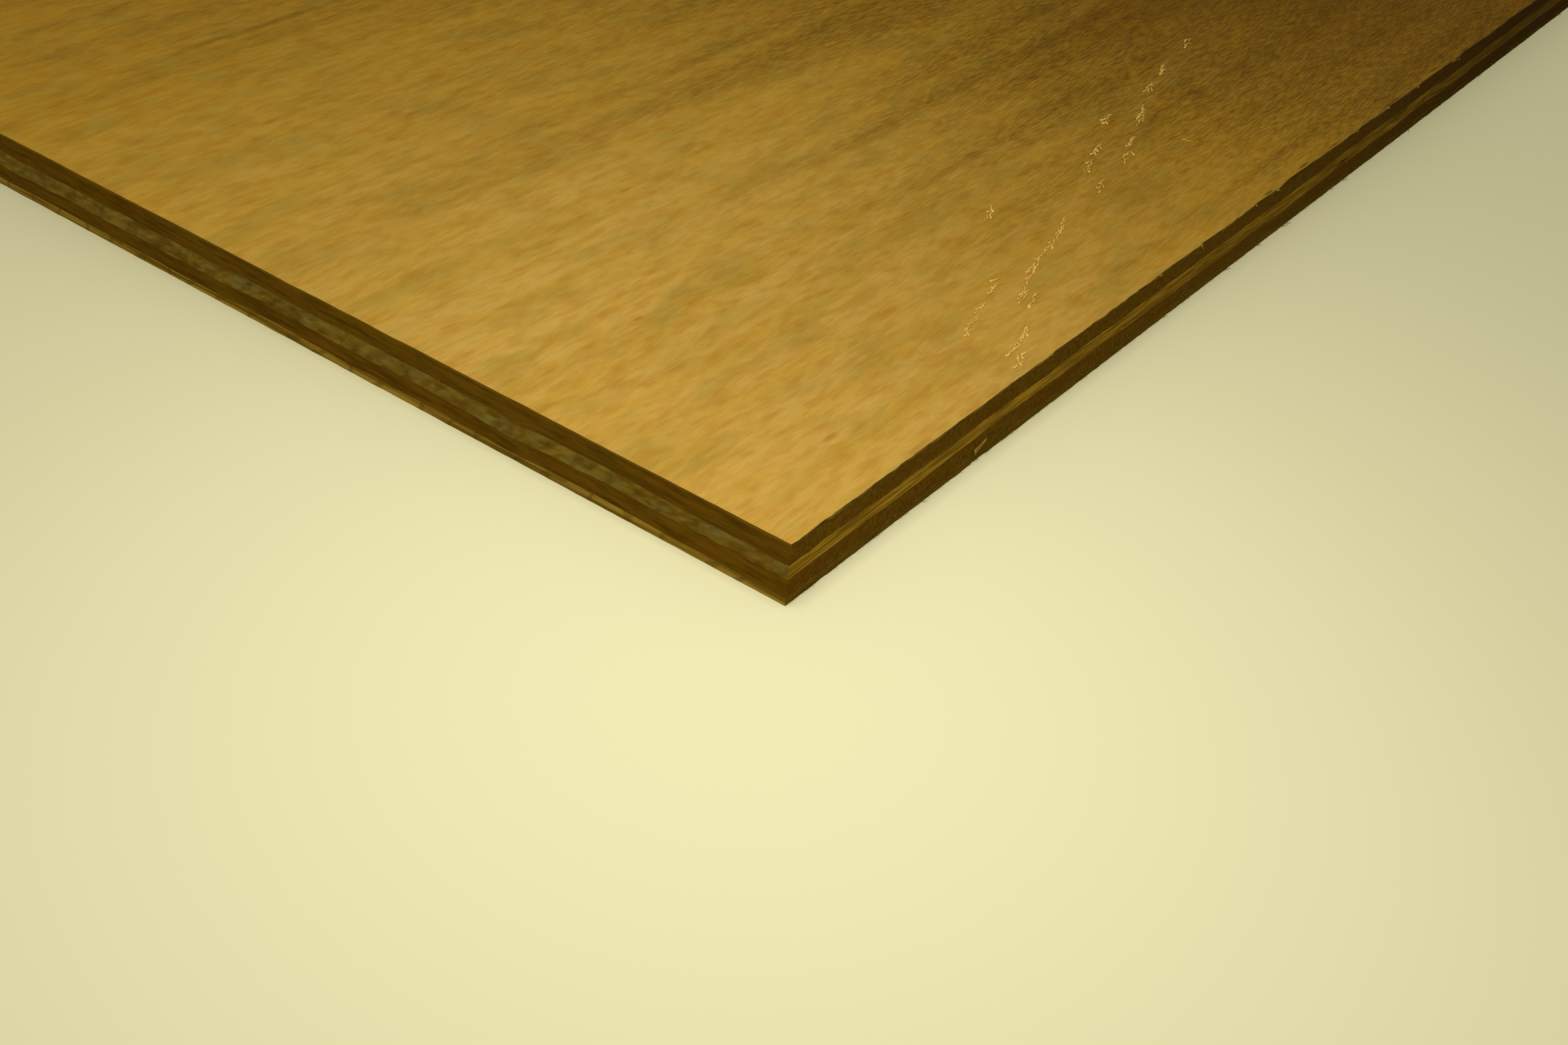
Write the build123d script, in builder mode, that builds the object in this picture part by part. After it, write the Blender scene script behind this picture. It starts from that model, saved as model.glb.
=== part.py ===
from build123d import *
import os

# Plywood sheet: five veneers glued crosswise, pressed and sawn square.
# The origin is the middle of the underside. +X runs along the sheet's length and its face
# grain, +Y across its width and +Z up through the plies. All sizes are in millimetres.

# The sawn sheet
sheet_length = 2440.0
sheet_width = 1220.0

# Thickness of each ply, from the top of the sheet down
face_veneer_thickness = 0.5
upper_crossband_thickness = 3.5
core_ply_thickness = 3.3
lower_crossband_thickness = 3.1
back_veneer_thickness = 1.6

# Nicks that the saw tore along the arris of the face veneer, on the long edge at -Y:
# distance of each from the corner at -X, its run along the grain, and how deep it bites
arris_nicks = [
    (78.0, 9.0, 0.30),
    (119.0, 15.0, 0.35),
    (136.0, 10.0, 0.30),
    (160.0, 12.0, 0.35),
    (173.5, 34.0, 0.60),
    (214.0, 15.0, 0.40),
    (231.5, 17.0, 0.45),
    (250.0, 25.0, 0.65),
    (277.0, 21.0, 0.40),
    (310.0, 18.0, 0.35),
]
# The torn end of a nick is steep: this part of its run takes it to full depth
nick_tear = 0.12

# Splits open along the grain of the core, on the same long edge: distance of the middle
# from the corner, height of the middle above the core's lower glue line, length and height
core_splits = [
    (109.0, 0.9, 10.0, 0.45),
    (201.0, 1.9, 10.0, 0.35),
    (209.5, 1.0, 6.0, 0.35),
    (242.5, 2.8, 10.0, 0.30),
    (286.5, 2.4, 11.5, 0.30),
]
core_split_depth = 1.5

# Pin hole in the core, beside the splits, leaning towards +X
pin_hole_distance = 257.0
pin_hole_height = 1.35
pin_hole_width = 1.0
pin_hole_length = 1.8
pin_hole_lean = 25.0
pin_hole_depth = 9.0

# Chip torn out of the lower arris, a shallow dish through the back veneer and the lower
# crossband: distance of its middle from the corner, height of its middle above the underside
chip_distance = 56.0
chip_height = 1.1
chip_width = 6.4
chip_depth = 0.9

# Levels of the glue lines, counted up from the underside
back_top = back_veneer_thickness
lower_crossband_top = back_top + lower_crossband_thickness
core_top = lower_crossband_top + core_ply_thickness
upper_crossband_top = core_top + upper_crossband_thickness

# The corner at -X and -Y, and the plane of the long edge, which looks along -Y
corner_x = -sheet_length / 2
long_edge_y = -sheet_width / 2
long_edge = Plane.XZ.offset(sheet_width / 2)

# The chip's dish is a cap of a ball whose middle stands off the long edge
chip_radius = ((chip_width / 2) ** 2 + chip_depth**2) / (2 * chip_depth)
chip_centre = (corner_x + chip_distance, long_edge_y - chip_radius + chip_depth, chip_height)

os.makedirs("parts", exist_ok=True)

# Back veneer: grain along the length, with the lower half of the chip out of its edge
with BuildPart() as back_veneer:
    with BuildSketch(Plane.XY):
        Rectangle(sheet_length, sheet_width)
    extrude(amount=back_veneer_thickness)
    with Locations(chip_centre):
        Sphere(chip_radius, mode=Mode.SUBTRACT)

back_veneer.part.label = "back_veneer"
export_step(back_veneer.part, "parts/back_veneer.step")

# Lower crossband: grain across the sheet, with the upper half of the chip out of its edge
with BuildPart() as lower_crossband:
    with BuildSketch(Plane.XY.offset(back_top)):
        Rectangle(sheet_length, sheet_width)
    extrude(amount=lower_crossband_thickness)
    with Locations(chip_centre):
        Sphere(chip_radius, mode=Mode.SUBTRACT)

lower_crossband.part.label = "lower_crossband"
export_step(lower_crossband.part, "parts/lower_crossband.step")

# Core ply: grain along the length, so its splits are lenses along the long edge
with BuildPart() as core_ply:
    with BuildSketch(Plane.XY.offset(lower_crossband_top)):
        Rectangle(sheet_length, sheet_width)
    extrude(amount=core_ply_thickness)
    with BuildSketch(long_edge):
        for distance, height, split_length, split_height in core_splits:
            with Locations((corner_x + distance, lower_crossband_top + height)):
                Ellipse(split_length / 2, split_height / 2)
    extrude(amount=-core_split_depth, mode=Mode.SUBTRACT)
    with BuildSketch(long_edge):
        with Locations((corner_x + pin_hole_distance, lower_crossband_top + pin_hole_height)):
            Ellipse(pin_hole_width / 2, pin_hole_length / 2, rotation=-pin_hole_lean)
    extrude(amount=-pin_hole_depth, mode=Mode.SUBTRACT)

core_ply.part.label = "core_ply"
export_step(core_ply.part, "parts/core_ply.step")

# Upper crossband: grain across the sheet, sawn clean
with BuildPart() as upper_crossband:
    with BuildSketch(Plane.XY.offset(core_top)):
        Rectangle(sheet_length, sheet_width)
    extrude(amount=upper_crossband_thickness)

upper_crossband.part.label = "upper_crossband"
export_step(upper_crossband.part, "parts/upper_crossband.step")

# Face veneer: grain along the length, so each nick in its arris is steep at one end, where
# the fibres broke, and runs out along the grain at the other
with BuildPart() as face_veneer:
    with BuildSketch(Plane.XY.offset(upper_crossband_top)):
        Rectangle(sheet_length, sheet_width)
        for distance, run, bite in arris_nicks:
            with BuildLine():
                Polyline(
                    (corner_x + distance, long_edge_y),
                    (corner_x + distance + nick_tear * run, long_edge_y + bite),
                    (corner_x + distance + run, long_edge_y),
                    close=True,
                )
            make_face(mode=Mode.SUBTRACT)
    extrude(amount=face_veneer_thickness)

face_veneer.part.label = "face_veneer"
export_step(face_veneer.part, "parts/face_veneer.step")
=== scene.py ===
import math
import random

import bpy
from mathutils import Matrix, Vector


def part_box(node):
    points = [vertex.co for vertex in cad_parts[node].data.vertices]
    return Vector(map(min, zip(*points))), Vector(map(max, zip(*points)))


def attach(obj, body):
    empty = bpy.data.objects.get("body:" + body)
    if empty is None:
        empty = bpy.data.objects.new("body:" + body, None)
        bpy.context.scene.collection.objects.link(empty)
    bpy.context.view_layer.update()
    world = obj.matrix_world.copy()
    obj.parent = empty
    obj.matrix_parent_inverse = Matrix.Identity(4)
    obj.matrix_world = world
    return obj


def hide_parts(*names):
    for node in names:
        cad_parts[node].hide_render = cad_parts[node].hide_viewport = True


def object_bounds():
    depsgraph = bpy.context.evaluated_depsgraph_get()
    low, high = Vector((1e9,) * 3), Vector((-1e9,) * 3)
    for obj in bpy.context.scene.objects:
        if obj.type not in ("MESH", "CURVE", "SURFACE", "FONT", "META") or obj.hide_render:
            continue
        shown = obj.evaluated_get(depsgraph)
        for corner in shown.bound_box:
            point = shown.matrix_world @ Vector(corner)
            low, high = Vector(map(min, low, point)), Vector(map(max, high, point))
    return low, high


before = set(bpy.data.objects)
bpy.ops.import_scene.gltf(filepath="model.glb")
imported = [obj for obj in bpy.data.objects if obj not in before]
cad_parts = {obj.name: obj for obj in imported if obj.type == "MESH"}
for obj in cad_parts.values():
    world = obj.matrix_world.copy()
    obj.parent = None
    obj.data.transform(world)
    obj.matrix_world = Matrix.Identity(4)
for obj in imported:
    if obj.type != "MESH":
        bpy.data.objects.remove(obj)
cad_low, cad_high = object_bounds()


# Back veneer
# The lowest ply of the sheet, a hardwood veneer peeled from the log and laid with its grain
# along the length. Its end grain shows on the short edge, in pale lines broken by cracks, and
# the saw has torn a chip out of its long edge.

close_length = 0.36  # the stretch of the long edge, from the corner, that is modelled closely
close_width = 0.28  # the same on the short edge
close_step = 0.0004  # from point to point along a closely modelled arris
far_step = 0.006  # from point to point along the rest of the outline
rim = 0.002  # the band round a ply's faces that follows the relief of its edge
touch = 1e-6  # two points nearer than this are in the same place
patch_cuts = 3  # how many cuts divide a closely modelled face where there is a chip or a split
hard_edge = math.radians(40)  # a fold sharper than this shows as an edge

back_rows = 4  # how many faces stand over each other on the ply's closely modelled edge
back_glue_wave = 0.0008
glue_lump = (0.02, 0.02, 0.02)
back_fray = 0.00022
wood_relief = 0.00015  # the depth of the fine relief on sawn wood
crack_spacing = 0.0055  # from crack to crack in a ply's end grain
crack_slant = 48  # in degrees

chip_from_corner = 0.056
chip_height = 0.0011
chip_width = 0.0064
chip_depth = 0.0002
chip_radius = ((chip_width / 2) ** 2 + chip_depth**2) / (2 * chip_depth)
chip_patch = (chip_from_corner, chip_height, chip_width / 2, chip_width / 2)
chip_fray = 0.0002
chip_lump = (0.0015, 0.0015, 0.0008)

# Painted shade: the sheet is given shade where the light falls off away from the corner, in a
# long band beside the long edge, and a little farther in and nearer the corner. Each stretch
# has a middle, half sizes and a depth of tone.
painted_shade_stretches = [
    ((0.470, 0.040, 0.006), (0.27, 0.15, 1), 0.9),
    ((1.000, 0.050, 0.006), (0.62, 0.11, 1), 0.5),
    ((0.300, 0.300, 0.006), (0.26, 0.20, 1), 0.4),
    ((0.086, 0.024, 0.006), (0.06, 0.05, 1), 0.1),
]
streak_size = (0.35, 0.010, 1)
streak_reach = 0.3  # how far the streaks draw out the rims of these stretches
streak_depth = 0.10  # how dark the streaks are by themselves


def activate(piece):
    """Makes the piece the only one that an operator works on."""
    bpy.ops.object.select_all(action="DESELECT")
    piece.select_set(True)
    bpy.context.view_layer.objects.active = piece


def settle(piece):
    """Puts the piece's place, turn and size into its mesh."""
    activate(piece)
    bpy.ops.object.transform_apply(location=True, rotation=True, scale=True)
    return piece


def pick(piece, kind, wanted):
    """Selects the piece's edges or faces whose points are wanted, and goes into edit mode."""
    bpy.ops.object.mode_set(mode="OBJECT")
    activate(piece)
    bpy.context.tool_settings.mesh_select_mode = (False, kind == "EDGE", kind == "FACE")
    mesh = piece.data
    for parts in (mesh.vertices, mesh.edges, mesh.polygons):
        parts.foreach_set("select", [False] * len(parts))
    places = [vertex.co.copy() for vertex in mesh.vertices]
    for part in mesh.edges if kind == "EDGE" else mesh.polygons:
        part.select = wanted([places[i] for i in part.vertices])
    bpy.ops.object.mode_set(mode="EDIT")


def between(point, start, end):
    """True where the point stands, in plan, on the straight run from start to end."""
    return all(
        min(a, b) - touch < p < max(a, b) + touch for p, a, b in zip(point.xy, start, end)
    )


def shift(piece, weigh, axis, amount, lump=None):
    """Moves each point along the axis by the amount and its weight, and with a lump, in lumps."""
    activate(piece)
    group = piece.vertex_groups.new(name="shift")
    for vertex in piece.data.vertices:
        weight = weigh(vertex.co)
        if weight > 0:
            group.add([vertex.index], weight, "REPLACE")
    move = piece.modifiers.new("shift", "DISPLACE")
    move.vertex_group = group.name
    move.direction = axis
    move.strength = amount
    move.mid_level = 0
    if lump:
        lumps = bpy.data.textures.new("lumps", "CLOUDS")
        lumps.noise_scale = 1
        lumps.noise_depth = 2
        gauge = bpy.data.objects.new("gauge", None)
        bpy.context.scene.collection.objects.link(gauge)
        gauge.scale = lump
        bpy.context.view_layer.update()
        move.texture = lumps
        move.texture_coords = "OBJECT"
        move.texture_coords_object = gauge
        move.mid_level = 0.5
    bpy.ops.object.modifier_apply(modifier=move.name)
    piece.vertex_groups.clear()
    if lump:
        bpy.data.objects.remove(gauge)
        bpy.data.textures.remove(lumps)


def lay_ply(node, rows, patches=()):
    """A ply as large as its CAD node, closely divided along the edges that meet at the corner.

    Each patch of the long edge, a middle and half sizes counted from the corner and the ply's
    underside, is divided more finely, to take a chip or a split."""
    low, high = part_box(node)
    bpy.ops.object.select_all(action="DESELECT")
    bpy.ops.mesh.primitive_cube_add(size=1, location=(low + high) / 2, scale=high - low)
    ply = settle(bpy.context.object)
    ply.name = "sawn_" + node

    near = (low.x, low.y)
    long_middle = (low.x + close_length, low.y)
    long_end = (high.x, low.y)
    far = (high.x, high.y)
    short_end = (low.x, high.y)
    short_middle = (low.x, low.y + close_width)
    bpy.ops.object.mode_set(mode="EDIT")
    for place, normal in ((long_middle, (1, 0, 0)), (short_middle, (0, 1, 0))):
        bpy.ops.mesh.select_all(action="SELECT")
        bpy.ops.mesh.bisect(plane_co=(*place, 0), plane_no=normal)
    outline = [
        (near, long_middle, close_step),
        (long_middle, long_end, far_step),
        (long_end, far, far_step),
        (far, short_end, far_step),
        (short_end, short_middle, far_step),
        (short_middle, near, close_step),
    ]
    for start, end, step in outline:
        cuts = math.ceil(math.sqrt(math.dist(start, end) / step)) - 1
        for _ in range(2):
            pick(
                ply,
                "EDGE",
                lambda ends: (ends[0].xy - ends[1].xy).length > touch
                and between(ends[0], start, end)
                and between(ends[1], start, end),
            )
            bpy.ops.mesh.subdivide(number_cuts=cuts)
    pick(
        ply,
        "EDGE",
        lambda ends: (ends[0].xy - ends[1].xy).length < touch
        and (between(ends[0], near, long_middle) or between(ends[0], short_middle, near)),
    )
    bpy.ops.mesh.subdivide(number_cuts=rows - 1)
    for level in (low.z, high.z):
        pick(ply, "FACE", lambda points: all(abs(p.z - level) < touch for p in points))
        bpy.ops.mesh.inset(thickness=rim, depth=0)
    for along, height, half_length, half_height in patches:
        pick(
            ply,
            "FACE",
            lambda points: all(abs(p.y - low.y) < touch for p in points)
            and abs(sum(p.x for p in points) / len(points) - low.x - along)
            < half_length + close_step
            and abs(sum(p.z for p in points) / len(points) - low.z - height)
            < half_height + close_step,
        )
        bpy.ops.mesh.subdivide(number_cuts=patch_cuts)
    bpy.ops.object.mode_set(mode="OBJECT")

    # The inner points of the insets stand back from the outline by the rim, at the corners too.
    for vertex in ply.data.vertices:
        if not on_outline(vertex.co):
            vertex.co.x = min(max(vertex.co.x, low.x + rim), high.x - rim)
            vertex.co.y = min(max(vertex.co.y, low.y + rim), high.y - rim)
    bpy.ops.object.mode_set(mode="EDIT")
    bpy.ops.mesh.select_all(action="SELECT")
    bpy.ops.mesh.remove_doubles(threshold=touch)
    bpy.ops.object.mode_set(mode="OBJECT")

    level = ply.data.attributes.new("level", "FLOAT", "POINT")
    level.data.foreach_set("value", [vertex.co.z - low.z for vertex in ply.data.vertices])
    return ply


def on_outline(point):
    """True for a point on one of the sheet's four edges."""
    return (
        min(point.x - cad_low.x, cad_high.x - point.x, point.y - cad_low.y, cad_high.y - point.y)
        < touch
    )


def wave_glue_line(ply, node, side, amount):
    """Makes the ply's upper or lower glue line rise and fall along the edges."""
    low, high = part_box(node)
    start, end = (low.z, high.z) if side == "upper" else (high.z, low.z)
    shift(
        ply,
        lambda point: on_outline(point) * (point.z - start) / (end - start),
        "Z",
        amount,
        glue_lump,
    )


def press_in(ply, dent, deepest):
    """Presses the long edge in by the dent's depth at each point."""
    shift(
        ply,
        lambda point: (abs(point.y - cad_low.y) < touch) * dent(point) / deepest,
        "Y",
        deepest,
    )


def roughen_edge(piece, axis, amount, lump):
    """The relief that the saw leaves on the two edges that face along the axis."""
    index = "XY".index(axis)
    sides = (cad_low[index], cad_high[index])
    shift(
        piece,
        lambda point: min(abs(point[index] - side) for side in sides) < touch,
        axis,
        amount,
        lump,
    )
    activate(piece)
    bpy.ops.object.shade_smooth_by_angle(angle=hard_edge)


def chip_dent(point):
    """The depth of the chip, whose bottom is a cap of a ball, at this point."""
    away = math.hypot(point.x - cad_low.x - chip_from_corner, point.z - chip_height)
    if away >= chip_width / 2:
        return 0
    return math.sqrt(chip_radius**2 - away**2) - (chip_radius - chip_depth)


def tear_chip(ply):
    """Presses the chip into the ply's long edge, and leaves its bottom rough."""
    press_in(ply, chip_dent, chip_depth)
    shift(
        ply,
        lambda point: touch < point.y - cad_low.y < chip_depth + touch,
        "Y",
        chip_fray,
        chip_lump,
    )


class Value:
    """One socket of a finish. Sums on it add Math nodes, so a pattern reads as an expression."""

    def __init__(self, finish, socket):
        self.finish = finish
        self.socket = socket

    def sum(self, operation, first, second):
        return self.finish.add("ShaderNodeMath", {"operation": operation}, {0: first, 1: second})

    def __add__(self, other):
        return self.sum("ADD", self, other)

    def __radd__(self, other):
        return self.sum("ADD", other, self)

    def __sub__(self, other):
        return self.sum("SUBTRACT", self, other)

    def __rsub__(self, other):
        return self.sum("SUBTRACT", other, self)

    def __mul__(self, other):
        return self.sum("MULTIPLY", self, other)

    def __rmul__(self, other):
        return self.sum("MULTIPLY", other, self)


class Wiring:
    """The nodes of a finish or of the sky. They all come from add, which returns a Value."""

    def __init__(self, tree):
        self.tree = tree

    def add(self, kind, settings=None, sockets=None, output=0):
        node = self.tree.nodes.new(kind)
        for name, setting in (settings or {}).items():
            setattr(node, name, setting)
        self.fill(node, sockets or {})
        return Value(self, node.outputs[output])

    def fill(self, node, sockets):
        for name, value in sockets.items():
            if isinstance(value, Value):
                self.tree.links.new(value.socket, node.inputs[name])
            else:
                node.inputs[name].default_value = value


seed_step = (0.731, 0.417, 0.233)  # metres from the noise of one seed to that of the next
band_spacing = 0.314  # the Wave Texture node's bands are this far apart


class Finish(Wiring):
    """The finish of one kind of wood, as patterns that wear sends to its shader."""

    def __init__(self, name, shine=0.02):
        self.material = bpy.data.materials.new(name)
        self.material.use_nodes = True
        super().__init__(self.material.node_tree)
        self.shader = self.tree.nodes["Principled BSDF"]
        self.shader.inputs["Specular IOR Level"].default_value = shine
        self.place = self.add("ShaderNodeTexCoord", output="Object")
        self.facing = self.add("ShaderNodeTexCoord", output="Normal")

    def fit(self, place, location, turn, size):
        """The place as seen from a location, turned by degrees and measured in sizes."""
        return self.add(
            "ShaderNodeMapping",
            {"vector_type": "TEXTURE"},
            {
                "Vector": place,
                "Location": location,
                "Rotation": tuple(math.radians(angle) for angle in turn),
                "Scale": size,
            },
        )

    def cloud(self, size, seed, detail=2.0, roughness=0.5, place=None, turn=(0, 0, 0)):
        """Noise from 0 to 1, with lumps of that size in metres, turned in degrees."""
        start = tuple(seed * part for part in seed_step)
        return self.add(
            "ShaderNodeTexNoise",
            None,
            {
                "Vector": self.fit(place or self.place, start, turn, size),
                "Scale": 1.0,
                "Detail": detail,
                "Roughness": roughness,
            },
        )

    def fade(self, value, start, end):
        """0 up to the start value, 1 from the end value, and smooth between them."""
        return self.add(
            "ShaderNodeMapRange",
            {"interpolation_type": "SMOOTHSTEP"},
            {"Value": value, "From Min": start, "From Max": end},
        )

    def mix(self, mask, without, with_it, blend="MIX"):
        """The first colour where the mask is 0, and the second, or its effect, where it is 1."""
        return self.add(
            "ShaderNodeMix",
            {"data_type": "RGBA", "blend_type": blend},
            {0: mask, 6: without, 7: with_it},
            output=2,
        )

    def apart(self, vector, axis):
        """One part of a vector, by its axis."""
        return self.add("ShaderNodeSeparateXYZ", None, {"Vector": vector}, output=axis)

    def along_plies(self):
        """A place whose height is counted from the ply's lower glue line and follows its waves."""
        level = self.add("ShaderNodeAttribute", {"attribute_name": "level"}, output="Fac")
        return self.add(
            "ShaderNodeCombineXYZ",
            None,
            {"X": self.apart(self.place, "X"), "Y": self.apart(self.place, "Y"), "Z": level},
        )

    def cracks(self, place, spacing, slant, seed):
        """1 on the slanting cracks that peeling leaves in a ply's end grain, and 0 between them."""
        size = spacing / band_spacing
        start = (0, seed * seed_step[1], 0)
        bands = self.add(
            "ShaderNodeTexWave",
            {"wave_type": "BANDS", "bands_direction": "Y"},
            {
                "Vector": self.fit(place, start, (slant, 0, 0), (1, size, 0.01)),
                "Scale": 1.0,
                "Distortion": 4.0,
                "Detail": 1.0,
                "Detail Scale": 2.0,
            },
            output="Fac",
        )
        return self.fade(bands, 0.8, 1.0)

    def mark(self, middle, turn, half_sizes, soft, ragged=0):
        """1 inside an oval, its middle counted from the corner, and fading out at its rim,
        which the ragged pattern, if any, moves in and out."""
        start = (cad_low.x + middle[0], cad_low.y + middle[1], middle[2])
        away = self.fit(self.place, start, turn, half_sizes)
        length = self.add(
            "ShaderNodeVectorMath", {"operation": "LENGTH"}, {0: away}, output="Value"
        )
        return self.fade(1 - length + ragged, -soft, soft)

    def painted_shade_and_streaks(self):
        """Rises from 0 towards the painted shade's middles, with streaky rims, and in dark streaks.
        """
        streaks = self.cloud(streak_size, seed=50, detail=2)
        ragged = (streaks - 0.5) * streak_reach
        stretches = sum(
            self.mark(middle, (0, 0, 0), half_sizes, soft=0.5, ragged=ragged) * depth
            for middle, half_sizes, depth in painted_shade_stretches
        )
        return stretches + self.fade(streaks, 0.5, 0.8) * streak_depth

    def darken(self, colour, shade):
        """The colour with the painted shade and dark streaks, which the shade multiplies."""
        return self.mix(self.painted_shade_and_streaks(), colour, shade, "MULTIPLY")

    def faces(self, axis):
        """1 on the sawn edge that faces along the axis, and 0 elsewhere."""
        across = self.apart(self.facing, axis)
        return self.fade(across * across, 0.3, 0.6)

    def wear(self, piece, colour, roughness, height, depth):
        """Sends the patterns to the shader, with the height as relief, and puts it on the piece."""
        relief = self.add(
            "ShaderNodeBump", None, {"Strength": 1.0, "Distance": depth, "Height": height}
        )
        self.fill(self.shader, {"Base Color": colour, "Roughness": roughness, "Normal": relief})
        piece.data.materials.clear()
        piece.data.materials.append(self.material)


def tone(red, green, blue):
    """A colour as seen on a screen, from 0 to 255, as the shader's linear values."""
    return tuple((part / 255) ** 2.2 for part in (red, green, blue)) + (1.0,)


edge_shade = tone(158, 153, 138)  # what the painted shade stretches multiply the sawn edges by


def finish_back_veneer(piece):
    """Dark olive long grain, and on the short edge pale lines of end grain with cracks."""
    finish = Finish("back_veneer_wood")
    place = finish.along_plies()
    streak = finish.cloud((0.03, 0.0012, 0.0004), seed=3, detail=3, place=place)
    band = finish.cloud((0.3, 0.03, 0.03), seed=5)
    long_grain = finish.mix(finish.fade(streak, 0.3, 0.7), tone(82, 61, 12), tone(100, 77, 19))
    sheet = finish.mix(finish.fade(band, 0.4, 0.6), tone(150, 118, 50), tone(132, 102, 40))
    sheet = finish.mix(finish.fade(streak, 0.4, 0.7) * 0.5, sheet, tone(112, 84, 30))
    line = finish.cloud((1, 0.03, 0.0007), seed=8, detail=1, place=place)
    end_grain = finish.mix(finish.fade(line, 0.36, 0.62), tone(96, 74, 20), tone(136, 110, 42))
    crack = finish.cracks(place, crack_spacing, crack_slant, seed=9)
    end_grain = finish.mix(crack * 0.5, end_grain, tone(80, 58, 12))
    colour = finish.mix(finish.faces("Y"), sheet, long_grain)
    colour = finish.mix(finish.faces("X"), colour, end_grain)
    # Painted shade away from the corner, with dark streaks of wood.
    colour = finish.darken(colour, edge_shade)
    height = streak * 0.5 + finish.cloud((0.0012, 0.0006, 0.0006), seed=9) * 0.5
    finish.wear(piece, colour, roughness=0.85, height=height, depth=wood_relief)


back_veneer = lay_ply("back_veneer", back_rows, [chip_patch])
wave_glue_line(back_veneer, "back_veneer", "upper", back_glue_wave)
tear_chip(back_veneer)
roughen_edge(back_veneer, "Y", back_fray, lump=(0.003, 0.003, 0.002))
roughen_edge(back_veneer, "X", back_fray, lump=(0.005, 0.005, 0.002))
finish_back_veneer(back_veneer)
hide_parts("back_veneer")
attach(back_veneer, "root")


# Lower crossband
# A thick peeled veneer of darker wood, glued across the back veneer. It shows end grain on
# the long edge and reddish long grain on the short one, where the saw cut along the fibres.
# Round the corner it is thicker, and the core above it is thinner.

lower_crossband_rows = 7
core_lower_wave = 0.0014
crossband_fray = 0.0003
crossband_end_lump = (0.0012, 0.0012, 0.0015)  # where the saw cut the fibres off
crossband_side_lump = (0.008, 0.008, 0.0010)  # and where it cut along them
thick_corner = 0.0006  # how far the glue line under the core stands up there
thick_start = 0.104  # where that begins to run out on the long edge
thick_end = 0.112
thick_width_start = 0.012  # the same on the short edge
thick_width_end = 0.05


def smooth(value, start, end):
    """0 up to the start value, 1 from the end value, and smooth between them."""
    share = min(max((value - start) / (end - start), 0), 1)
    return share * share * (3 - 2 * share)


def lift_glue_line(ply, node, side):
    """Raises the core's lower glue line round the corner."""
    low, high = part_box(node)
    start, end = (low.z, high.z) if side == "upper" else (high.z, low.z)
    shift(
        ply,
        lambda point: on_outline(point)
        * (point.z - start)
        / (end - start)
        * (1 - smooth(point.x - cad_low.x, thick_start, thick_end))
        * (1 - smooth(point.y - cad_low.y, thick_width_start, thick_width_end)),
        "Z",
        thick_corner,
    )


def finish_crossband(name, seed, piece):
    """Dark brown end grain on the long edge, and reddish brown long grain on the short one."""
    finish = Finish(name)
    place = finish.along_plies()
    streak = finish.cloud((0.002, 0.008, 0.0007), seed, detail=3, roughness=0.6, place=place)
    patch = finish.cloud((0.01, 0.006, 0.0018), seed + 2, detail=2, place=place)
    long_grain = finish.mix(finish.fade(streak, 0.28, 0.72), tone(70, 49, 7), tone(92, 68, 15))
    long_grain = finish.mix(finish.fade(patch, 0.45, 0.72) * 0.45, long_grain, tone(102, 64, 11))
    speck = finish.cloud((0.0005, 0.01, 0.0006), seed + 4, detail=2, place=place)
    cloudy = finish.cloud((0.02, 0.05, 0.002), seed + 6, detail=2, place=place)
    end_grain = finish.mix(finish.fade(speck, 0.3, 0.7), tone(78, 55, 9), tone(96, 71, 15))
    end_grain = finish.mix(finish.fade(cloudy, 0.4, 0.7) * 0.5, end_grain, tone(86, 54, 9))
    colour = finish.mix(finish.faces("Y"), long_grain, end_grain)
    # Painted shade away from the corner, with dark streaks of wood.
    colour = finish.darken(colour, edge_shade)
    height = streak * 0.6 + speck * 0.4
    finish.wear(piece, colour, roughness=0.9, height=height, depth=wood_relief)


lower_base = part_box("lower_crossband")[0].z
lower_chip_patch = (chip_from_corner, chip_height - lower_base, chip_width / 2, chip_width / 2)

lower_crossband = lay_ply("lower_crossband", lower_crossband_rows, [lower_chip_patch])
wave_glue_line(lower_crossband, "lower_crossband", "lower", back_glue_wave)
wave_glue_line(lower_crossband, "lower_crossband", "upper", core_lower_wave)
lift_glue_line(lower_crossband, "lower_crossband", "upper")
tear_chip(lower_crossband)
roughen_edge(lower_crossband, "Y", crossband_fray, crossband_end_lump)
roughen_edge(lower_crossband, "X", crossband_fray, crossband_side_lump)
finish_crossband("lower_crossband_wood", 11, lower_crossband)
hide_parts("lower_crossband")
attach(lower_crossband, "root")


# Core ply
# The middle ply, a peeled veneer of lighter wood, glued between the crossbands with its grain
# along the length. On the long edge it has a few splits and a pin hole, and on the short one
# its end grain is olive grey and mottled.

core_rows = 8
core_upper_wave = 0.0010
core_fray = 0.0003

# distance of the middle from the corner, height over the glue line, length and height
core_splits = [
    (0.1090, 0.0009, 0.0100, 0.00045),
    (0.2010, 0.0019, 0.0100, 0.00035),
    (0.2095, 0.0010, 0.0060, 0.00035),
    (0.2425, 0.0028, 0.0100, 0.00030),
    (0.2865, 0.0024, 0.0115, 0.00030),
]
split_depth = 0.0015

pin_hole_from_corner = 0.257
pin_hole_over_glue = 0.00135
pin_hole_width = 0.0010
pin_hole_height = 0.0018
pin_hole_lean = math.radians(25.0)
pin_hole_depth = 0.009
pin_hole_floor = 0.75  # the share of its half width at which the hole has its full depth

core_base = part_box("core_ply")[0].z


def split_dent(point):
    """The depth of the splits, which run along the grain and have round bottoms."""
    depth = 0
    for distance, height, length, opening in core_splits:
        along = (point.x - cad_low.x - distance) / (length / 2)
        up = (point.z - core_base - height) / (opening / 2)
        depth = max(depth, 1 - along * along - up * up)
    return split_depth * math.sqrt(depth)


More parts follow.
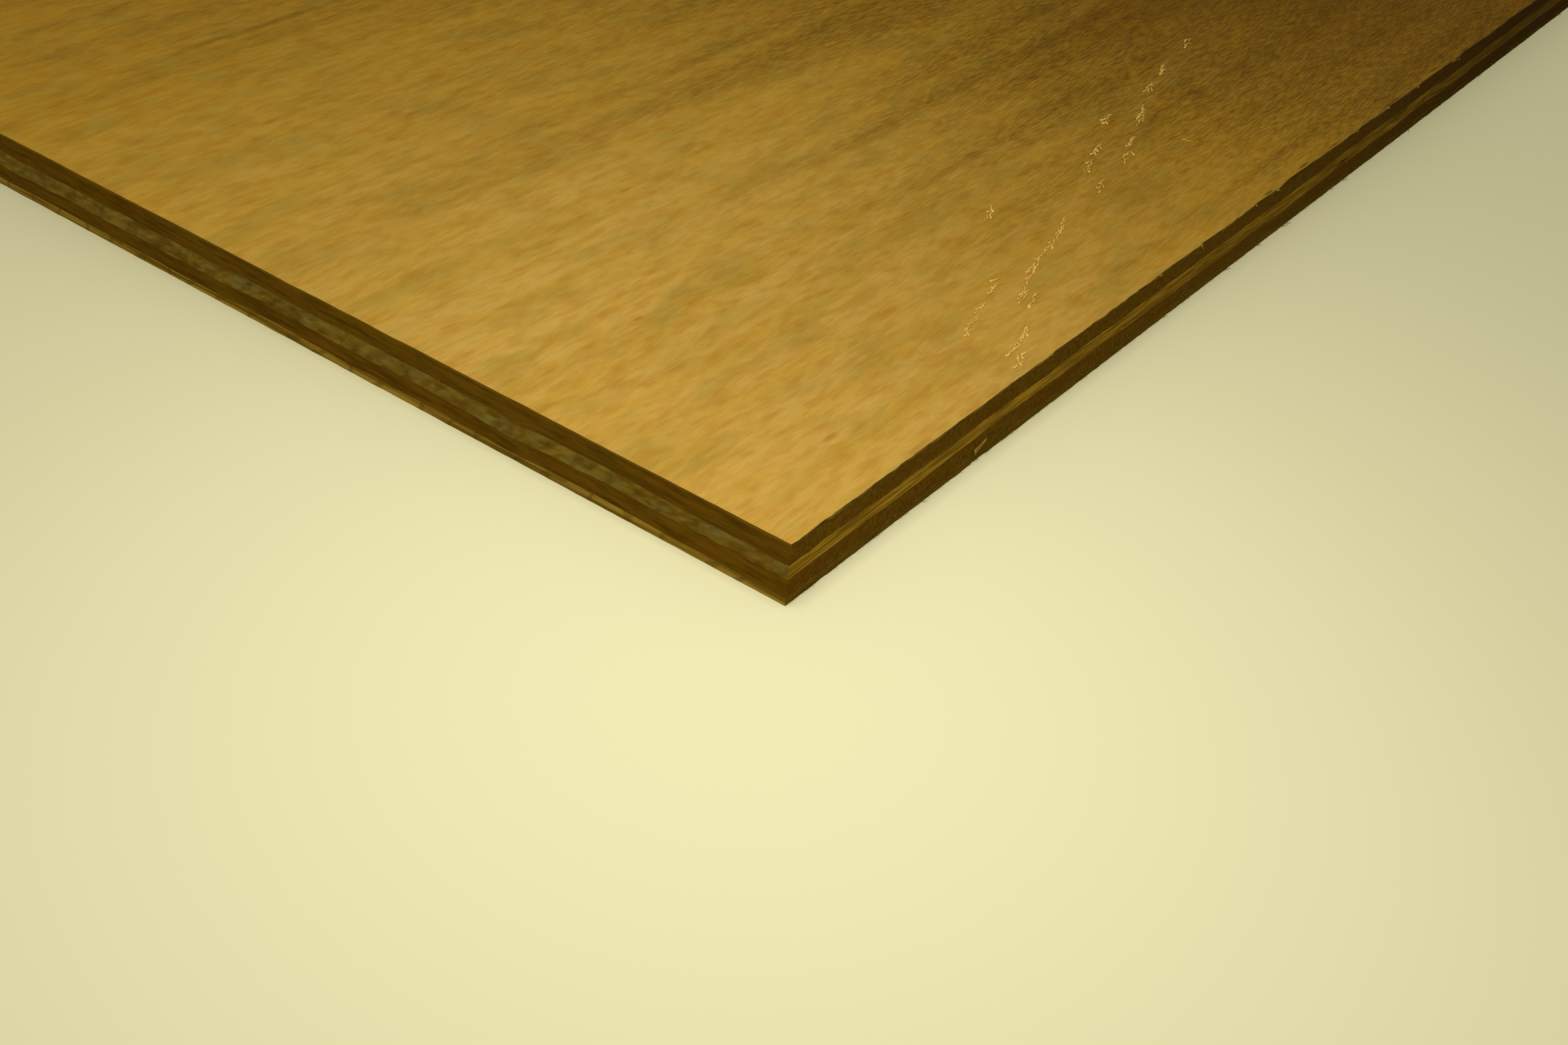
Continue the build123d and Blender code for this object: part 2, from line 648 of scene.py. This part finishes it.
def pin_hole_dent(point):
    """The depth of the pin hole, which has a nearly straight wall and a flat end."""
    along = point.x - cad_low.x - pin_hole_from_corner
    up = point.z - core_base - pin_hole_over_glue
    across = along * math.cos(pin_hole_lean) - up * math.sin(pin_hole_lean)
    height = along * math.sin(pin_hole_lean) + up * math.cos(pin_hole_lean)
    away = math.hypot(across / (pin_hole_width / 2), height / (pin_hole_height / 2))
    return pin_hole_depth * min(max((1 - away) / (1 - pin_hole_floor), 0), 1)


# distance from the corner, height over the glue line, half length and half height of small
# pits in the short edge
core_pits = [
    (0.0610, 0.0008, 0.0018, 0.0005),
    (0.0960, 0.0004, 0.0014, 0.0006),
    (0.0060, 0.0006, 0.0013, 0.0005),
]
pit_lean = -35.0


def finish_core(piece):
    """Light tan streaks along the long edge, and mottled olive end grain on the short one."""
    finish = Finish("core_wood")
    place = finish.along_plies()
    streak = finish.cloud((0.014, 0.0010, 0.0007), seed=21, detail=3, roughness=0.6, place=place)
    fine = finish.cloud((0.012, 0.0010, 0.00024), seed=22, detail=2, place=place)
    broad = finish.cloud((0.05, 0.02, 0.004), seed=23, detail=1)
    long_grain = finish.mix(finish.fade(streak, 0.36, 0.66), tone(104, 77, 16), tone(156, 120, 36))
    long_grain = finish.mix(finish.fade(broad, 0.42, 0.68) * 0.5, long_grain, tone(100, 74, 17))
    long_grain = finish.mix(finish.fade(fine, 0.56, 0.70) * 0.8, long_grain, tone(62, 43, 6))
    long_grain = finish.mix(finish.fade(1 - fine, 0.60, 0.74) * 0.5, long_grain, tone(170, 140, 64))
    lens = finish.cloud((0.01, 0.0050, 0.0018), seed=24, detail=3, place=place, turn=(-15, 0, 0))
    brown = finish.cloud((0.01, 0.008, 0.0025), seed=27, detail=1, place=place)
    grey = finish.cloud((0.01, 0.006, 0.0025), seed=28, detail=1, place=place)
    speck = finish.cloud((0.01, 0.0030, 0.0010), seed=29, detail=2, place=place, turn=(-15, 0, 0))
    end_grain = finish.mix(finish.fade(lens, 0.25, 0.70), tone(90, 69, 18), tone(116, 94, 34))
    end_grain = finish.mix(finish.fade(grey, 0.45, 0.70) * 0.6, end_grain, tone(102, 92, 48))
    end_grain = finish.mix(finish.fade(1 - speck, 0.54, 0.74) * 0.45, end_grain, tone(126, 111, 58))
    end_grain = finish.mix(finish.fade(speck, 0.50, 0.72) * 0.5, end_grain, tone(68, 48, 9))
    end_grain = finish.mix(finish.fade(brown, 0.48, 0.76) * 0.6, end_grain, tone(82, 58, 11))
    crack = finish.cracks(place, crack_spacing, crack_slant, seed=25)
    end_grain = finish.mix(crack * 0.35, end_grain, tone(76, 54, 10))
    for along, height, half_length, half_height in core_pits:
        middle = (0, along, core_base + height)
        half_sizes = (1, half_length, half_height)
        pit = finish.mark(middle, (pit_lean, 0, 0), half_sizes, soft=0.9)
        end_grain = finish.mix(pit * 0.5, end_grain, tone(54, 37, 6))
    colour = finish.mix(finish.faces("X"), long_grain, end_grain)
    # Painted shade away from the corner, with dark streaks of wood.
    colour = finish.darken(colour, edge_shade)
    height = streak * 0.5 + fine * 0.5
    finish.wear(piece, colour, roughness=0.85, height=height, depth=wood_relief)


core_patches = [
    (distance, height, length / 2, opening / 2)
    for distance, height, length, opening in core_splits
]
core_patches.append(
    (pin_hole_from_corner, pin_hole_over_glue, pin_hole_height / 2, pin_hole_height / 2)
)

core_ply = lay_ply("core_ply", core_rows, core_patches)
wave_glue_line(core_ply, "core_ply", "lower", core_lower_wave)
wave_glue_line(core_ply, "core_ply", "upper", core_upper_wave)
lift_glue_line(core_ply, "core_ply", "lower")
press_in(core_ply, split_dent, split_depth)
press_in(core_ply, pin_hole_dent, pin_hole_depth)
roughen_edge(core_ply, "Y", core_fray, lump=(0.012, 0.012, 0.0010))
roughen_edge(core_ply, "X", core_fray, lump=(0.003, 0.003, 0.0015))
finish_core(core_ply)
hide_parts("core_ply")
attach(core_ply, "root")


# Upper crossband
# A thick peeled veneer of the same dark wood as the lower crossband, glued across the core,
# under the face. It shows end grain on the long edge and long grain on the short one.

upper_crossband_rows = 8
face_glue_wave = 0.0003

upper_crossband = lay_ply("upper_crossband", upper_crossband_rows)
wave_glue_line(upper_crossband, "upper_crossband", "lower", core_upper_wave)
wave_glue_line(upper_crossband, "upper_crossband", "upper", face_glue_wave)
roughen_edge(upper_crossband, "Y", crossband_fray, crossband_end_lump)
roughen_edge(upper_crossband, "X", crossband_fray, crossband_side_lump)
finish_crossband("upper_crossband_wood", 31, upper_crossband)
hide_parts("upper_crossband")
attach(upper_crossband, "root")


# Face veneer
# A very thin veneer of golden tan hardwood, peeled from the log, glued on last and left
# without a finish. The saw has torn nicks in its arris along the long edge, each steep at the
# end where the fibres broke.

face_rows = 3
face_fray = 0.0004
face_relief = 0.00008
grain_bend = 0.004  # how far the grain swings to the side
face_shade = tone(179, 166, 52)  # what the painted shade stretches multiply the face by

# distance from the corner, run along the grain, and how deep it bites
arris_nicks = [
    (0.0780, 0.009, 0.00018),
    (0.1190, 0.015, 0.00020),
    (0.1360, 0.010, 0.00018),
    (0.1600, 0.012, 0.00022),
    (0.1735, 0.034, 0.00040),
    (0.2140, 0.015, 0.00018),
    (0.2315, 0.017, 0.00024),
    (0.2500, 0.025, 0.00026),
    (0.2770, 0.021, 0.00022),
    (0.3100, 0.018, 0.00018),
]
nick_tear = 0.12  # the share of a nick's run that takes it to full depth
deepest_nick = max(bite for _, _, bite in arris_nicks)

# middle, counted from the corner, half length, half width and turn of the marks on the face
flecks = [
    ((0.0280, 0.0130), 0.0018, 0.0006, 0.0),
    ((0.0708, 0.0950), 0.0020, 0.0004, 0.0),
    ((0.0348, 0.0603), 0.0013, 0.0005, 0.0),
    ((0.0415, 0.1654), 0.0018, 0.0006, 0.0),
]
shade = ((0.1500, 0.0205), 0.0100, 0.0040, 0.0)
smear = ((0.0720, 0.2050), 0.0280, 0.0011, 0.0)
scuff = ((0.1580, 0.0335), 0.0760, 0.0022, 15.0)
# Painted shade: dark marks standing in for the shadows of small dents beside the arris.
dent_shadows = [
    ((0.1682, 0.0006), 0.0018, 0.00030, 0.0),
    ((0.1865, 0.0009), 0.0026, 0.00030, 0.0),
    ((0.2012, 0.0006), 0.0026, 0.00020, 0.0),
    ((0.2355, 0.0006), 0.0056, 0.00024, 0.0),
    ((0.2812, 0.0006), 0.0028, 0.00032, 0.0),
]
painted_light_corner = ((0.02, 0.03, 0.012), (0, 0, 0), (0.11, 0.11, 1))  # middle, turn and half sizes of a painted pool of light round the corner


def nick_bite(point):
    """How deep the nicks bite at this point of the long edge, as a share of the deepest."""
    if abs(point.y - cad_low.y) > touch:
        return 0
    along = point.x - cad_low.x
    depth = 0
    for distance, run, bite in arris_nicks:
        share = (along - distance) / run
        if 0 < share < 1:
            depth = max(depth, bite * min(share / nick_tear, (1 - share) / (1 - nick_tear)))
    return depth / deepest_nick


def face_mark(finish, shape, soft):
    """A mark on the face, from its middle, half sizes and turn."""
    (along, across), half_length, half_width, turn = shape
    middle = (along, across, cad_high.z)
    return finish.mark(middle, (0, 0, turn), (half_length, half_width, 1), soft)


def finish_face(piece):
    """Golden tan wood, finely flecked along the grain, with soft olive and reddish patches."""
    finish = Finish("face_wood", shine=0.05)
    bend = finish.cloud((0.08, 0.04, 1), seed=41, detail=1)
    place = finish.add(
        "ShaderNodeVectorMath",
        {"operation": "MULTIPLY_ADD"},
        {0: bend, 1: (0, grain_bend, 0), 2: finish.place},
    )
    broad = finish.cloud((1.3, 0.12, 1), seed=40, detail=3, place=place)
    band = finish.cloud((0.07, 0.0040, 1), seed=42, detail=3, place=place)
    olive = finish.cloud((0.017, 0.0075, 1), seed=44, detail=2, place=place)
    mottle = finish.cloud((0.0075, 0.0030, 1), seed=43, detail=2, place=place)
    tint = finish.cloud((0.0055, 0.0013, 1), seed=45, detail=2, place=place)
    grain = finish.cloud((0.0034, 0.00025, 1), seed=46, detail=2, roughness=0.6, place=place)
    colour = finish.mix(finish.fade(broad, 0.3, 0.7), tone(198, 153, 51), tone(188, 141, 39))
    # Painted light: the face paler round the corner, where the lamp is.
    colour = finish.mix(finish.mark(*painted_light_corner, soft=0.8) * 0.5, colour, tone(205, 166, 92))
    colour = finish.mix(finish.fade(band, 0.35, 0.65) * 0.5, colour, tone(190, 145, 44))
    colour = finish.mix(finish.fade(olive, 0.42, 0.78) * 0.5, colour, tone(156, 130, 50))
    colour = finish.mix(finish.fade(mottle, 0.40, 0.75) * 0.42, colour, tone(168, 118, 34))
    colour = finish.mix(finish.fade(1 - mottle, 0.50, 0.80) * 0.36, colour, tone(166, 144, 70))
    # Painted shade away from the corner, with dark streaks of wood.
    colour = finish.darken(colour, face_shade)
    # How deep the painted shade and dark streaks lie here; the reddish tint and the pores grow with
    # it and deepen the painted shade.
    darker = finish.fade(finish.painted_shade_and_streaks(), 0, 0.6)
    reddish = finish.fade(tint, 0.40, 0.68) * (0.22 + darker * 0.1)
    colour = finish.mix(reddish, colour, tone(204, 178, 100), "MULTIPLY")
    pores = finish.fade(grain, 0.34, 0.66) * (0.12 + darker * 0.65)
    colour = finish.mix(pores, colour, tone(158, 148, 104), "MULTIPLY")
    colour = finish.mix(face_mark(finish, shade, soft=0.9) * 0.3, colour, tone(110, 90, 26))
    for fleck in flecks:
        colour = finish.mix(face_mark(finish, fleck, soft=0.6) * 0.5, colour, tone(150, 98, 20))
    dark = face_mark(finish, smear, soft=0.8) * finish.fade(mottle, 0.3, 0.6)
    colour = finish.mix(dark * 0.5, colour, tone(104, 80, 24))
    pale = face_mark(finish, scuff, soft=0.7) * finish.fade(tint, 0.48, 0.70)
    colour = finish.mix(pale * 0.3, colour, tone(206, 164, 70))
    # Painted shade of small dents beside the arris.
    for dent in dent_shadows:
        colour = finish.mix(face_mark(finish, dent, soft=0.5) * 0.8, colour, tone(84, 56, 10))
    rough_side = finish.cloud((0.004, 1, 1), seed=48, detail=2)
    side = finish.mix(finish.fade(rough_side, 0.35, 0.65), tone(76, 57, 12), tone(108, 87, 28))
    side = finish.mix(finish.faces("X"), side, tone(94, 69, 12))
    # Painted shade away from the corner, with dark streaks of wood.
    side = finish.darken(side, edge_shade)
    colour = finish.mix(finish.faces("X") + finish.faces("Y"), colour, side)
    finish.wear(piece, colour, roughness=0.65, height=0 - grain, depth=face_relief)


face_veneer = lay_ply("face_veneer", face_rows)
wave_glue_line(face_veneer, "face_veneer", "lower", face_glue_wave)
shift(face_veneer, nick_bite, "Y", deepest_nick)
roughen_edge(face_veneer, "Y", face_fray, lump=(0.003, 0.003, 0.002))
roughen_edge(face_veneer, "X", face_fray, lump=(0.008, 0.008, 0.003))
finish_face(face_veneer)
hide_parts("face_veneer")
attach(face_veneer, "root")


# Scuffed fibres
# Where something hard was dragged across the grain it tore up little curls of the face, in a
# broken line that runs down to the arris, with a second, shorter line beside it.

# middles of the tufts, from the corner along the long edge and away from it
scuffed_spots = [
    (0.2300, 0.0521),
    (0.2100, 0.0481),
    (0.1984, 0.0454),
    (0.1843, 0.0400),
    (0.1799, 0.0379),
    (0.1686, 0.0340),
    (0.1610, 0.0308),
    (0.1438, 0.0276),
    (0.1232, 0.0245),
    (0.1194, 0.0231),
    (0.1129, 0.0217),
    (0.1048, 0.0199),
    (0.1000, 0.0183),
    (0.0925, 0.0151),
    (0.0915, 0.0126),
    (0.0804, 0.0073),
    (0.0745, 0.0059),
    (0.0716, 0.0031),
    (0.1749, 0.0435),
    (0.1593, 0.0372),
    (0.1506, 0.0344),
    (0.1159, 0.0374),
    (0.0911, 0.0210),
    (0.0811, 0.0177),
    (0.0744, 0.0156),
]
curls_per_spot = 6
curl_step = (0.0010, 0.00029)  # from curl to curl of a spot, along and across the grain
curl_slip = (0.0004, 0.0005)  # how far a curl may stand off its place, along and across
curl_shapes = ((0.0018, 60), (0.0022, -45), (0.0027, 35), (0.0034, -65))  # length and curl
curl_turns = (-12, 42)  # the least and the most that a curl turns away from the grain
curl_sizes = (0.7, 1.1)
fibre_thickness = 0.00044
fibre_relief = 0.00004
fibre_sides = 5
fibre_joints = 7


def fibre(length, thickness, curl, lift, sides=fibre_sides, joints=fibre_joints):
    """A splinter along X, half as thick at one end, curled sideways and lifted at its ends."""
    bpy.ops.object.select_all(action="DESELECT")
    bpy.ops.mesh.primitive_cone_add(
        vertices=sides,
        radius1=thickness / 2,
        radius2=thickness / 4,
        depth=length,
        rotation=(0, math.pi / 2, 0),
    )
    splinter = settle(bpy.context.object)
    pick(splinter, "EDGE", lambda ends: abs(ends[0].x - ends[1].x) > touch)
    bpy.ops.mesh.subdivide(number_cuts=joints)
    bpy.ops.object.mode_set(mode="OBJECT")
    for axis, angle in (("Z", curl), ("Y", lift)):
        bend = splinter.modifiers.new("bend", "SIMPLE_DEFORM")
        bend.deform_method = "BEND"
        bend.deform_axis = axis
        bend.angle = math.radians(angle)
        bpy.ops.object.modifier_apply(modifier=bend.name)
    bpy.ops.object.shade_smooth()
    return splinter


def lay_copy(pattern, place, turn=(0, 0, 0), size=1.0):
    """A copy of the pattern with its own mesh, at a place counted from the corner."""
    piece = pattern.copy()
    piece.data = pattern.data.copy()
    bpy.context.scene.collection.objects.link(piece)
    piece.location = Vector((cad_low.x, cad_low.y, 0)) + Vector(place)
    piece.rotation_euler = [math.radians(angle) for angle in turn]
    piece.scale = (size, size, size)
    return piece


def gather(name, pieces, patterns):
    """Joins the pieces into one, and clears the patterns away."""
    for pattern in patterns:
        bpy.data.objects.remove(pattern)
    bpy.ops.object.select_all(action="DESELECT")
    for piece in pieces:
        piece.select_set(True)
    bpy.context.view_layer.objects.active = pieces[0]
    bpy.ops.object.transform_apply(location=True, rotation=True, scale=True)
    if len(pieces) > 1:
        bpy.ops.object.join()
    pieces[0].name = name
    return pieces[0]


def finish_fibres(name, dark, pale, piece):
    """Raw torn wood between two tones."""
    finish = Finish(name)
    along = finish.cloud((0.004, 0.004, 0.004), seed=52, detail=1)
    colour = finish.mix(finish.fade(along, 0.3, 0.7), dark, pale)
    finish.wear(piece, colour, roughness=0.8, height=along, depth=fibre_relief)
    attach(piece, "root")


def strew(name, patterns, spots):
    """One piece of copied patterns. A spot is a pattern's number, a place, a turn and a size."""
    return gather(name, [lay_copy(patterns[which], *spot) for which, *spot in spots], patterns)


dice = random.Random(7)
curls = []
for along, across in scuffed_spots:
    for count in range(curls_per_spot):
        steps = count - (curls_per_spot - 1) / 2
        place = (
            along + steps * curl_step[0] + dice.uniform(-1, 1) * curl_slip[0],
            across + steps * curl_step[1] + dice.uniform(-1, 1) * curl_slip[1],
            cad_high.z + fibre_thickness / 3,
        )
        turn = (0, 0, dice.uniform(*curl_turns))
        curls.append((dice.randrange(len(curl_shapes)), place, turn, dice.uniform(*curl_sizes)))
curl_patterns = [fibre(length, fibre_thickness, curl, lift=5) for length, curl in curl_shapes]
scuffed_fibres = strew("scuffed_fibres", curl_patterns, curls)
finish_fibres("scuffed_wood", tone(196, 154, 62), tone(226, 188, 98), scuffed_fibres)


# Loose splinter
# One nearly straight splinter of yellow wood, broken off in sawing. It lies by itself across
# the grain of the face.

splinter_middle = (0.1786, 0.0242)
splinter_length = 0.0047
splinter_thickness = 0.00022
splinter_turn = -78.0

loose_splinter = strew(
    "loose_splinter",
    [fibre(splinter_length, splinter_thickness, curl=12, lift=4)],
    [(0, (*splinter_middle, cad_high.z + splinter_thickness / 2), (0, 0, splinter_turn))],
)
finish_fibres("splinter_wood", tone(168, 134, 20), tone(206, 172, 44), loose_splinter)


# Arris splinters
# Pale ends of the face veneer that the saw tore at the nicks and left hanging over the long
# edge, among them one long thin fibre, and the flake that still covers part of the chip.

# distance from the corner, height, turn towards the floor, and share of the torn length
torn_ends = [
    (0.0778, 0.0118, 10.0, 0.6),
    (0.1195, 0.0116, 15.0, 0.9),
    (0.1371, 0.0108, 52.0, 1.1),
    (0.1470, 0.0116, 20.0, 0.5),
    (0.1618, 0.0114, 30.0, 0.8),
    (0.1726, 0.0113, 24.0, 1.3),
    (0.2138, 0.0118, 8.0, 0.7),
    (0.2320, 0.0118, 10.0, 0.7),
    (0.2500, 0.0117, 14.0, 0.7),
]
torn_length = 0.0024
torn_thickness = 0.00034
hanging_middle = (0.2752, 0.0113)
hanging_length = 0.0073
hanging_thickness = 0.00018
hanging_turn = 11.0
flake_middle = (0.0560, 0.0027)
flake_length = 0.0038
flake_width = 0.0017
flake_thickness = 0.0003
flake_turn = -18.0
proud = 0.0001  # how far a splinter's middle stands off the edge

flake = fibre(flake_length, flake_width, curl=0, lift=0)
flake.scale.y = flake_thickness / flake_width
settle(flake)
torn_patterns = [
    fibre(torn_length, torn_thickness, curl=10, lift=20),
    fibre(hanging_length, hanging_thickness, curl=15, lift=20),
    flake,
]
torn_spots = [
    (0, (along, -proud, height), (0, turn, 0), size) for along, height, turn, size in torn_ends
]
for which, (along, height), turn in (
    (1, hanging_middle, hanging_turn),
    (2, flake_middle, flake_turn),
):
    torn_spots.append((which, (along, -proud, height), (0, turn, 0)))
arris_splinters = strew("arris_splinters", torn_patterns, torn_spots)
finish_fibres("arris_wood", tone(116, 92, 30), tone(146, 120, 50), arris_splinters)


# Edge fuzz
# Fine dark hairs of the back veneer and the crossband over it, which the saw left standing
# along the lower arris of the long edge, with a few longer ones among them. They are modelled
# as far as that edge is modelled closely.

# distance of a hair's root from the corner, and its reach along and out from the edge
long_hairs = [
    (0.0375, 0.0012, 0.0010),
    (0.1239, 0.0016, 0.0008),
    (0.1513, 0.0020, 0.0009),
    (0.1665, 0.0016, 0.0010),
    (0.1788, 0.0022, 0.0010),
    (0.1808, 0.0018, 0.0011),
    (0.2045, 0.0017, 0.0008),
    (0.2112, 0.0021, 0.0011),
    (0.2513, -0.0016, 0.0012),
    (0.2975, 0.0020, 0.0008),
    (0.3606, 0.0020, 0.0010),
]
hair_length = 0.0020
hair_thickness = 0.00013
fuzz_count = 1100
fuzz_length = 0.0009
fuzz_thickness = 0.00006
fuzz_low = 0.0004  # how high the middles of the lowest hairs are
fuzz_height = 0.0016  # how far the highest are above them, though most are low
fuzz_dips = (-25, 5)  # the least and the most that a hair tips, in degrees
fuzz_turns = (-80, -15)  # and that it turns out from the edge
fuzz_sizes = (0.5, 1.3)

hairs = []
for along, run, reach in long_hairs:
    place = (along + run / 2, -reach / 2, fuzz_low)
    turn = (0, 0, math.degrees(math.atan2(-reach, run)))
    hairs.append((0, place, turn, math.hypot(run, reach) / hair_length))
for _ in range(fuzz_count):
    height = fuzz_low + dice.random() ** 2 * fuzz_height
    place = (dice.uniform(0, close_length), -fuzz_length / 4, height)
    turn = (0, dice.uniform(*fuzz_dips), dice.uniform(*fuzz_turns))
    hairs.append((dice.choice((1, 2)), place, turn, dice.uniform(*fuzz_sizes)))
hair_patterns = [
    fibre(hair_length, hair_thickness, curl=25, lift=6),
    fibre(fuzz_length, fuzz_thickness, curl=40, lift=20, sides=3, joints=3),
    fibre(fuzz_length, fuzz_thickness, curl=-40, lift=10, sides=3, joints=3),
]
edge_fuzz = strew("edge_fuzz", hair_patterns, hairs)
finish_fibres("fuzz_wood", tone(70, 48, 12), tone(112, 84, 30), edge_fuzz)


# Floor
# A plain pale floor under the sheet, matt as paint, and wide enough to fill the view from
# every side.

floor_size = 60.0
floor_tone = tone(230, 223, 172)

bpy.ops.object.select_all(action="DESELECT")
bpy.ops.mesh.primitive_plane_add(size=floor_size, location=(0, 0, 0))
floor = bpy.context.object
floor.name = "floor"
floor_finish = Finish("floor_paint", shine=0)
floor_finish.fill(floor_finish.shader, {"Base Color": floor_tone, "Roughness": 0.9})
floor.data.materials.append(floor_finish.material)


# Light
# A soft studio: an even sky, a broad soft key light from the side of the camera, and a small
# soft lamp close over the corner. The sky looks like the far floor.

sky_level = 0.27
key_level = 0.29
key_height = math.radians(40)
key_heading = math.radians(62)  # from +Y towards +X, the way the light travels
key_softness = math.radians(30)
corner_lamp_size = 0.10
corner_lamp_place = (cad_low.x - 0.02, cad_low.y - 0.005, 0.19)
corner_lamp_power = 0.22

world = bpy.data.worlds.new("studio")
bpy.context.scene.world = world
world.use_nodes = True
sky = Wiring(world.node_tree)
rays = sky.add("ShaderNodeLightPath").socket.node.outputs
seen = sum(Value(sky, rays[f"Is {kind} Ray"]) for kind in ("Camera", "Glossy", "Transmission"))
even = (sky_level, sky_level, sky_level, 1)
far_floor = tuple(part * (sky_level + key_level) for part in floor_tone[:3]) + (1,)
sky_colour = sky.add(
    "ShaderNodeMix",
    {"data_type": "RGBA"},
    {0: seen, 6: even, 7: far_floor},
    output=2,
)
sky.fill(world.node_tree.nodes["Background"], {"Color": sky_colour, "Strength": 1.0})

key_data = bpy.data.lights.new("key", "SUN")
key_data.energy = key_level * math.pi / math.sin(key_height)
key_data.angle = key_softness
key = bpy.data.objects.new("key", key_data)
bpy.context.scene.collection.objects.link(key)
key.rotation_euler = (math.pi / 2 - key_height, 0, -key_heading)

lamp_data = bpy.data.lights.new("corner_lamp", "AREA")
lamp_data.shape = "SQUARE"
lamp_data.size = corner_lamp_size
lamp_data.energy = corner_lamp_power
lamp = bpy.data.objects.new("corner_lamp", lamp_data)
bpy.context.scene.collection.objects.link(lamp)
lamp.location = corner_lamp_place
lamp.visible_camera = False


# Camera
# Close over the corner and looking down along the face, as the photo was taken: its place,
# heading, tilt and roll.

camera_from_corner = Vector((-0.1945, -0.1286, 0.1859))
camera_heading = math.radians(56.17)
camera_tilt = math.radians(36.08)
camera_roll = math.radians(5.7)
camera_lens = 44.06

camera_data = bpy.data.cameras.new("camera")
camera_data.sensor_width = 36.0
camera_data.lens = camera_lens
camera_data.clip_start = 0.01
camera = bpy.data.objects.new("camera", camera_data)
bpy.context.scene.collection.objects.link(camera)
camera.matrix_world = (
    Matrix.Translation(Vector((cad_low.x, cad_low.y, 0)) + camera_from_corner)
    @ Matrix.Rotation(-camera_heading, 4, "Z")
    @ Matrix.Rotation(math.pi / 2 - camera_tilt, 4, "X")
    @ Matrix.Rotation(camera_roll, 4, "Z")
)
bpy.context.scene.camera = camera
bpy.context.scene.view_settings.view_transform = "Standard"
